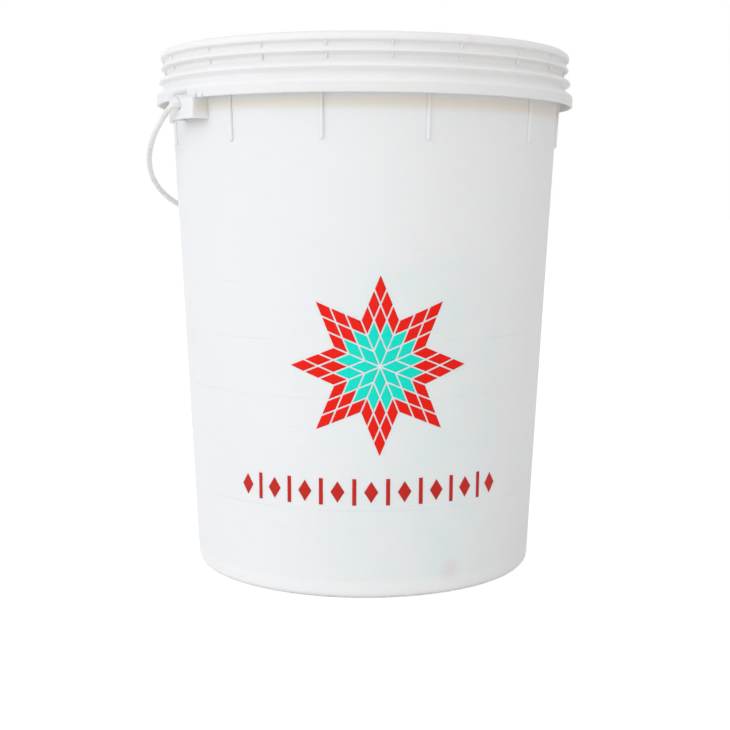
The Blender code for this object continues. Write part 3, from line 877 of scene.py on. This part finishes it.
tools = []
for half_turn in (0, math.pi):
    faces = [guide_face(0.0009, radius) for radius in (EAR_FACE - 0.0044, EAR_FACE + 0.0020)]
    for tool in (lofted("opening", faces), *[notch(*sizes) for sizes in NOTCHES]):
        tool.data.transform(Matrix.Rotation(half_turn, 4, "Z"))
        cut_or_join(vessel, tool, "DIFFERENCE")
        tools.append(tool)
vessel = made_plain(vessel, "vessel", tools)

# %% [markdown]
# One ear is made on the +X side and copied, half a turn round, to the other. All of these pieces
# stand for one CAD node, the pail's body, and wear its plastic.

# %% The ears
def make_ear(name):
    """One ear on the +X side; its plate follows the collar's face from its foot to its head."""
    heights = ((EAR_BOTTOM, EAR_FACE), (COLLAR_EDGE - 0.0010, EAR_FACE),
               (COLLAR_EDGE + 0.0025, COLLAR_RADIUS - 0.0001),
               (COLLAR_TOP - 0.0015, COLLAR_RADIUS - 0.0008))
    ear = lofted(name, [ear_plan(face, height) for height, face in heights])
    face = math.sqrt(EAR_FACE ** 2 - EAR_HALF_WIDTH ** 2) - 0.0002
    side = -EAR_HALF_WIDTH + 0.0002
    toe_plan = ((face - 0.0024, side), (face, side),
                (face, side + 0.0034), (face - 0.0024, side + 0.0034))
    toe = lofted("toe", [[(x, y, height) for x, y in toe_plan]
                         for height in (EAR_BOTTOM - 0.0022, EAR_BOTTOM + 0.0034)])
    guide = lofted("guide", [guide_face(-0.0004, EAR_FACE - 0.0019),
                             guide_face(0.0010, EAR_FACE + 0.0007)])
    hole = lofted("hole", [round_face(EAR_FACE + depth, HOLE_RADIUS) for depth in (-0.0060, 0.0020)])
    for tool, operation in ((toe, "UNION"), (guide, "DIFFERENCE"), (hole, "DIFFERENCE")):
        cut_or_join(ear, tool, operation)
    cells = ear.modifiers.new("even cells", "REMESH")
    cells.mode = "VOXEL"
    cells.voxel_size = 0.00034
    soft = ear.modifiers.new("soft edges", "SMOOTH")
    soft.factor = 0.5
    soft.iterations = 5
    ear = made_plain(ear, name, (toe, guide, hole))
    ear.data.shade_smooth()
    ear.data.materials.clear()
    ear.data.materials.append(white_plastic)
    return ear


ear_right = make_ear("ear_right")
ear_left = linked("ear_left", ear_right.data.copy())
ear_left.data.transform(Matrix.Rotation(math.pi, 4, "Z"))
for piece in (vessel, ribs, *webs, ear_right, ear_left):
    dress(piece, "pail", "pail_body")

# %% [markdown]
# The print is two-colour screen printing: a flexible mesh lays one even film of ink for each colour
# while the pail rolls beneath it. The design is an old quilt star, eight arms of small diamonds round
# a middle point, over a row of diamonds and bars. A picture laid on the wall is the usual way, but a
# film of real geometry has an edge that catches the light, and it stays sharp from close by. It is
# drawn flat, by distance round the wall and height up it, and a tree wraps it: each point turns about
# the axis by its distance round divided by the radius there. The film stands a twentieth of a
# millimetre proud, and its lower face is sunk into the wall so that no gap shows.

# %% A tree that wraps a flat print round the wall
def make_print_tree():
    tree, add, given = new_tree("print_on_wall", {
        "Foot radius": 0.1, "Taper": 0.0, "Facing": 0.0,
        "Film proud": 0.00006, "Film sunk": 0.0002, "Cells": 3,
    })
    fine = add("GeometryNodeSubdivideMesh", {"Mesh": given["Geometry"], "Level": given["Cells"]})
    position = add("GeometryNodeInputPosition")
    flat = add("ShaderNodeSeparateXYZ", {0: position}).outputs
    wall = add("ShaderNodeMath", (flat["Z"], given["Taper"], given["Foot radius"]),
               operation="MULTIPLY_ADD")
    round_by = add("ShaderNodeMath", (flat["X"], wall), operation="DIVIDE")
    angle = add("ShaderNodeMath", (round_by, given["Facing"]), operation="ADD")
    front = add("ShaderNodeMath", (given["Film sunk"], wall), operation="SUBTRACT")
    straight = add("ShaderNodeCombineXYZ", {"Y": front})
    turned = add("ShaderNodeVectorRotate", {"Vector": straight, "Angle": angle}, rotation_type="Z_AXIS")
    lifted = add("ShaderNodeCombineXYZ", {"Z": flat["Z"]})
    place = add("ShaderNodeVectorMath", (turned, lifted), operation="ADD")
    wrapped = add("GeometryNodeSetPosition", {"Geometry": fine, "Position": place})
    thickness = add("ShaderNodeMath", (given["Film sunk"], given["Film proud"]), operation="ADD")
    film = add("GeometryNodeExtrudeMesh",
               {"Mesh": wrapped, "Offset Scale": thickness, "Individual": False}, mode="FACES")
    back = add("GeometryNodeFlipFaces", {"Mesh": wrapped})
    closed = add("GeometryNodeJoinGeometry", {"Geometry": film})
    tree.links.new(back.outputs[0], closed.inputs[0])
    joined = add("GeometryNodeMergeByDistance", {"Geometry": closed, "Distance": 0.000001})
    finish_tree(add, joined, given["Material"])
    return tree


print_tree = make_print_tree()
print("the print tree has", len(print_tree.nodes), "nodes")

# %% [markdown]
# Screen ink for polypropylene is a thick, strongly coloured gloss ink. It lies a little unevenly: the
# squeegee leaves faint level streaks, and the mesh leaves tiny pinholes, drawn here a little coarser
# than they are so that they show.

# %% Screen inks
PINHOLE_TINT = "#F6E9E6"
PINHOLE_MM = 1.111
CLOUD_MM = 16.67


def make_ink(name, colour, thin_colour):
    material, add = new_material(name)
    place = add("ShaderNodeTexCoord").outputs["Object"]
    streaks = level_streaks(add, place, 30, 1.6, 3.0)
    cloud = add("ShaderNodeTexNoise", {"Vector": place, "Scale": 1000 / CLOUD_MM, "Detail": 3.0})
    uneven = add("ShaderNodeMath", (streaks, cloud), operation="MULTIPLY")
    thin = add("ShaderNodeMapRange", (uneven, 0.20, 0.45, 0.0, 0.55))
    holes = add("ShaderNodeTexVoronoi", {"Vector": place, "Scale": 1000 / PINHOLE_MM})
    hole = add("ShaderNodeMapRange", (holes.outputs["Distance"], 0.05, 0.16, 0.25, 0.0))
    pinhole = add("ShaderNodeMath", (hole, cloud), operation="MULTIPLY")
    tone = linear(colour)
    for tint, amount in ((thin_colour, thin), (PINHOLE_TINT, pinhole)):
        laid = add("ShaderNodeMix", {0: amount, 6: tone, 7: linear(tint)}, data_type="RGBA")
        tone = laid.outputs[2]
    bump = add("ShaderNodeBump", {"Height": streaks, "Strength": 0.15, "Distance": 0.00005})
    shader = add("ShaderNodeBsdfPrincipled", {
        "Base Color": tone, "Roughness": 0.34, "IOR": 1.5, "Specular IOR Level": 0.15, "Normal": bump,
    })
    add("ShaderNodeOutputMaterial", {"Surface": shader})
    return material


red_ink = make_ink("screen_ink_red", "#EE1505", "#F02410")
turquoise_ink = make_ink("screen_ink_turquoise", "#04E2CA", "#10E8D0")
dark_red_ink = make_ink("screen_ink_deep_red", "#C4241C", "#CC3229")
print("each ink has", len(red_ink.node_tree.nodes), "nodes")

# %% [markdown]
# The star is built from one small diamond with corners of 45 and 135 degrees. Three by three of them
# make one arm, and eight arms close the circle. The two inner rows of each arm are one colour and the
# three outer rows the other. A narrow gap is left round each diamond, so that the white shows.

# %% The flat star
STAR_CENTER = (0.011, 0.162)
STAR_RADIUS = 0.0625
ARM_ROWS = 3
MIDDLE_ROWS = 2
DIAMOND_SIDE = STAR_RADIUS / (2 * math.cos(math.radians(22.5)) * ARM_ROWS)
GAP = 0.0011


def star_diamonds():
    """Each small diamond of the star as (row from the middle, its four corners)."""
    diamonds = []
    inset = GAP / 2 / math.sin(math.radians(45)) / DIAMOND_SIDE
    for arm in range(8):
        turn = Matrix.Rotation(math.radians(45 * arm), 2)
        first, second = [turn @ Vector((math.cos(math.radians(side)), math.sin(math.radians(side))))
                         for side in (67.5, 112.5)]
        for i in range(ARM_ROWS):
            for j in range(ARM_ROWS):
                corners = []
                for u, v in ((i + inset, j + inset), (i + 1 - inset, j + inset),
                             (i + 1 - inset, j + 1 - inset), (i + inset, j + 1 - inset)):
                    corners.append(first * (u * DIAMOND_SIDE) + second * (v * DIAMOND_SIDE))
                diamonds.append((i + j, corners))
    return diamonds


print("the star is made of", len(star_diamonds()), "diamonds")

# %% [markdown]
# Each colour of the star is one piece, as in real screen printing each has its own screen. Both are
# laid flat first and then wrapped by the tree. A diamond's row from the middle says which ink it gets.

# %% The star on the wall
def flat_shapes(name, shapes):
    """A flat mesh in the XZ plane: X is the distance round the wall, Z the height up it."""
    points = [(x, 0, z) for shape in shapes for x, z in shape]
    faces = []
    for shape in shapes:
        start = sum(len(face) for face in faces)
        faces.append(tuple(range(start, start + len(shape))))
    return mesh_object(name, points, [], faces)


def print_piece(name, shapes, ink):
    piece = run_tree(print_tree, flat_shapes(name + "_flat", shapes), name, foot_radius=WALL_FOOT_RADIUS,
                     taper=WALL_TAPER, facing=PRINT_FACING, material=ink)
    dress(piece, "pail", "pail_body")


diamonds = [(row, [(x + STAR_CENTER[0], y + STAR_CENTER[1]) for x, y in corners])
            for row, corners in star_diamonds()]
print_piece("print_star_middle", [shape for row, shape in diamonds if row < MIDDLE_ROWS], turquoise_ink)
print_piece("print_star_points", [shape for row, shape in diamonds if row >= MIDDLE_ROWS], red_ink)

# %% [markdown]
# Under the star runs a row of plain marks, a diamond and a bar by turns, nearly two centimetres tall.
# A loop steps along the row and writes each mark's corners.

# %% The row under the star
ROW_LEFT = -0.092
ROW_RIGHT = 0.103
ROW_LOW = 0.0665
ROW_HIGH = 0.0850
MARK_COUNT = 17
BAR_HALF_WIDTH = 0.0014
DIAMOND_HALF_WIDTH = 0.0048
DIAMOND_HALF_HEIGHT = 0.0075

marks = []
center = (ROW_LOW + ROW_HIGH) / 2
for index in range(MARK_COUNT):
    middle = ROW_LEFT + (ROW_RIGHT - ROW_LEFT) * (index + 0.5) / MARK_COUNT
    if index % 2:
        left, right = middle - BAR_HALF_WIDTH, middle + BAR_HALF_WIDTH
        marks.append([(left, ROW_LOW), (right, ROW_LOW), (right, ROW_HIGH), (left, ROW_HIGH)])
    else:
        marks.append([(middle - DIAMOND_HALF_WIDTH, center), (middle, center - DIAMOND_HALF_HEIGHT),
                      (middle + DIAMOND_HALF_WIDTH, center), (middle, center + DIAMOND_HALF_HEIGHT)])
print_piece("print_row", marks, dark_red_ink)

# %% [markdown]
# The bail is steel wire with a white plastic coat. At each end it is bent square to go through an
# ear, and its tip is upset into a head so that it can't pull out. Its middle is straight for the
# grip. Its width comes from the rim, which it has to clear as it swings over, and its pivots, its
# depth and the angle at which it rests come from the joints of the frame.

# %% Sizes of the bail
WIRE_RADIUS = 0.0020
HEAD = (
    # distance along the wire from its tip, and radius there
    (0.0, 0.0022), (0.00015, 0.0028), (0.0004, 0.0032), (0.0007, 0.0034),
    (0.0012, 0.0033), (0.0014, 0.0029), (0.0016, 0.0023), (0.0020, WIRE_RADIUS),
)
TAIL_LENGTH = 0.0042
PIVOT_BEND = 0.0042
SHOULDER_REACH = 0.0060
GRIP_LENGTH = 0.1020
GRIP_SEAT_HALF = GRIP_LENGTH / 2 + 0.0030
RIM_REACH = math.hypot(LIP_RADIUS, LIP_SHOULDER - PIVOT_HEIGHT)
BAIL_HALF_WIDTH = RIM_REACH + 0.0020 + WIRE_RADIUS
PIVOT = Vector(JOINTS["bail_swing"]["pos_m"])
GRIP_CENTER = Vector(JOINTS["grip_spin"]["pos_m"])
BAIL_DEPTH = (GRIP_CENTER - PIVOT).length
BAIL_REST = math.atan2(GRIP_CENTER.y - PIVOT.y, PIVOT.z - GRIP_CENTER.z)
print("bail", round(BAIL_HALF_WIDTH * 2000, 1), "mm wide and", round(BAIL_DEPTH * 1000, 1), "mm deep")
print("it hangs", round(math.degrees(BAIL_REST), 1), "degrees out")

# %% [markdown]
# In plan the bail is half an oval with a square bend at each end. A curve could be pulled into shape by
# hand, but then it would neither clear the rim for certain nor meet its joints. So one half is worked
# out in the bail's own plane, and the other half is its mirror.

# %% The path of the bail
def bail_half():
    """Half of the bail as (across, down, wire radius), from its tail to its middle."""
    tail = EAR_FACE - EAR_PLATE - TAIL_LENGTH
    path = []
    bend_center = BAIL_HALF_WIDTH - PIVOT_BEND
    for step in range(13):
        angle = -math.pi / 2 + math.pi / 2 * step / 12
        path.append((bend_center + PIVOT_BEND * math.cos(angle),
                     PIVOT_BEND + PIVOT_BEND * math.sin(angle)))
    oval_half = (BAIL_DEPTH - PIVOT_BEND) / math.sqrt(1 - (GRIP_SEAT_HALF / BAIL_HALF_WIDTH) ** 2)
    last = math.acos((GRIP_SEAT_HALF + SHOULDER_REACH) / BAIL_HALF_WIDTH)
    for step in range(1, 61):
        angle = last * step / 60
        path.append((BAIL_HALF_WIDTH * math.cos(angle), PIVOT_BEND + oval_half * math.sin(angle)))
    start = path[-1]
    for step in range(1, 11):
        share = step / 10
        rest = 1 - share
        across = (rest ** 2 * start[0] + 2 * share * rest * GRIP_SEAT_HALF
                  + share ** 2 * (GRIP_SEAT_HALF - SHOULDER_REACH))
        path.append((across, rest ** 2 * start[1] + (1 - rest ** 2) * BAIL_DEPTH))
    head = [(tail + along, 0.0, radius) for along, radius in HEAD]
    return head + [(across, down, WIRE_RADIUS) for across, down in path]


half = bail_half()
bail_path = [(-across, down, radius) for across, down, radius in half] + half[::-1]
bail_place = Matrix.Translation(PIVOT) @ Matrix.Rotation(BAIL_REST, 4, "X")
print("the path of the bail has", len(bail_path), "points")

# %% [markdown]
# A tree follows the path: it turns the points into a curve, reads each point's thickness, and sweeps
# a circle of that size along it, with caps at its ends.

# %% A tree that sweeps a wire along a path
def make_wire_tree():
    tree, add, given = new_tree("wire_along_path", {"Sides": 20})
    path = add("GeometryNodeMeshToCurve", {"Mesh": given["Geometry"]})
    thickness = add("GeometryNodeInputNamedAttribute", {"Name": "thickness"}, data_type="FLOAT")
    sized = add("GeometryNodeSetCurveRadius", {"Curve": path, "Radius": thickness})
    circle = add("GeometryNodeCurvePrimitiveCircle", {"Resolution": given["Sides"], "Radius": 1.0})
    wire = add("GeometryNodeCurveToMesh",
               {"Curve": sized, "Profile Curve": circle, "Scale": thickness, "Fill Caps": True})
    finish_tree(add, wire, given["Material"])
    return tree


wire_tree = make_wire_tree()
print("the wire tree has", len(wire_tree.nodes), "nodes")

# %% [markdown]
# The coat on the wire is polyethylene that the hot wire was drawn through: smooth, softly glossy, a
# touch greyer than the pail, with slow thick and thin places and a few dull rub marks. The grip is the
# same plastic moulded, milkier, with a fine grain from its mould and a trace of dust.

# %% Plastic for the wire's coat and for the grip
DUST_MM = 11.11
RUB_MM = 3.125


def make_handle_plastic(name, clean, dusty, roughness, grain_mm, grain_height):
    material, add = new_material(name)
    place = add("ShaderNodeTexCoord").outputs["Object"]
    dust = add("ShaderNodeTexNoise", {"Vector": place, "Scale": 1000 / DUST_MM, "Detail": 4.0})
    amount = add("ShaderNodeMapRange", (dust, 0.42, 0.75, 0.0, 1.0))
    tone = add("ShaderNodeMix", {0: amount, 6: linear(clean), 7: linear(dusty)}, data_type="RGBA")
    rubs = add("ShaderNodeTexNoise", {"Vector": place, "Scale": 1000 / RUB_MM, "Detail": 3.0})
    rough = add("ShaderNodeMapRange", (rubs, 0.35, 0.70, roughness, roughness + 0.18))
    grain = add("ShaderNodeTexNoise", {"Vector": place, "Scale": 1000 / grain_mm, "Detail": 2.0})
    bump = add("ShaderNodeBump", {"Height": grain, "Strength": 0.3, "Distance": grain_height})
    shader = add("ShaderNodeBsdfPrincipled", {
        "Base Color": tone.outputs[2], "Roughness": rough, "IOR": 1.51, "Normal": bump,
        "Subsurface Weight": 0.10, "Subsurface Radius": (0.002, 0.0015, 0.001), "Subsurface Scale": 1.0,
    })
    add("ShaderNodeOutputMaterial", {"Surface": shader})
    return material


wire_coat = make_handle_plastic("polyethylene_dip_coat_on_wire", "#EDEEED", "#E2E1DD",
                                roughness=0.28, grain_mm=3.0, grain_height=0.00012)
grip_plastic = make_handle_plastic("moulded_polyethylene_grip", "#F1F0ED", "#E4E1DA",
                                   roughness=0.40, grain_mm=0.7, grain_height=0.00006)
print("coat and grip plastics have", len(wire_coat.node_tree.nodes), "nodes each")

# %% [markdown]
# The path is drawn lying flat, a ten-thousandth too small so that the facets of the wire stay inside
# the CAD model's box, then set on its pivots at the angle at which the bail hangs.

# %% The bail
BAIL_SHRINK = 0.9999
wire_points = [(across * BAIL_SHRINK, 0, -down * BAIL_SHRINK) for across, down, _ in bail_path]
wire_source = mesh_object("bail_path", wire_points,
                          [(index, index + 1) for index in range(len(bail_path) - 1)])
thickness = wire_source.data.attributes.new("thickness", "FLOAT", "POINT")
thickness.data.foreach_set("value", [radius for _, _, radius in bail_path])
bail = run_tree(wire_tree, wire_source, "bail", sides=20, material=wire_coat)
bail.data.transform(bail_place)
dress(bail, "bail", "bail_wire")

# %% [markdown]
# The grip is a moulded tube that turns on the wire. Shallow rings keep it from slipping in a wet
# hand, and its ends are drawn in. It is turned too, so it comes from the same tree as the vessel, and
# is then laid along the bail, at its middle.

# %% The grip
GRIP_RADIUS = 0.00898
GRIP_END_RADIUS = 0.0074
GRIP_BORE = 0.0024
RING_PITCH = 0.0060
RING_COUNT = 12


def grip_outline():
    """Half section of the grip along its length, up its outer side and back through its bore."""
    half = GRIP_LENGTH / 2
    ringed = RING_PITCH * RING_COUNT / 2
    bottom = GRIP_RADIUS - 0.0007
    outside = [(GRIP_BORE + 0.0006, -half, 0), (GRIP_END_RADIUS, -half, 0.0010),
               (GRIP_END_RADIUS + 0.0003, -half + 0.0022, 0.0010), (GRIP_RADIUS, -half + 0.0050, 0.0025)]
    for index in range(RING_COUNT + 1):
        at = -ringed + index * RING_PITCH
        outside += [(GRIP_RADIUS, at - 0.0011, 0.0005), (bottom, at - 0.0005, 0.0004),
                    (bottom, at + 0.0005, 0.0004), (GRIP_RADIUS, at + 0.0011, 0.0005)]
    outside += [(radius, -height, rounding) for radius, height, rounding in outside[3::-1]]
    outside += [(GRIP_BORE, half - 0.0006, 0), (GRIP_BORE, -half + 0.0006, 0),
                (GRIP_BORE + 0.0006, -half, 0)]
    return rounded(outside, 4)


grip = run_tree(turning_tree, outline_object("grip_outline", grip_outline()), "grip",
                steps_round=64, material=grip_plastic)
grip_turn = Matrix.Rotation(BAIL_REST, 4, "X") @ Matrix.Rotation(math.pi / 2, 4, "Y")
grip.data.transform(Matrix.Translation(GRIP_CENTER) @ grip_turn)
dress(grip, "grip", "bail_grip")
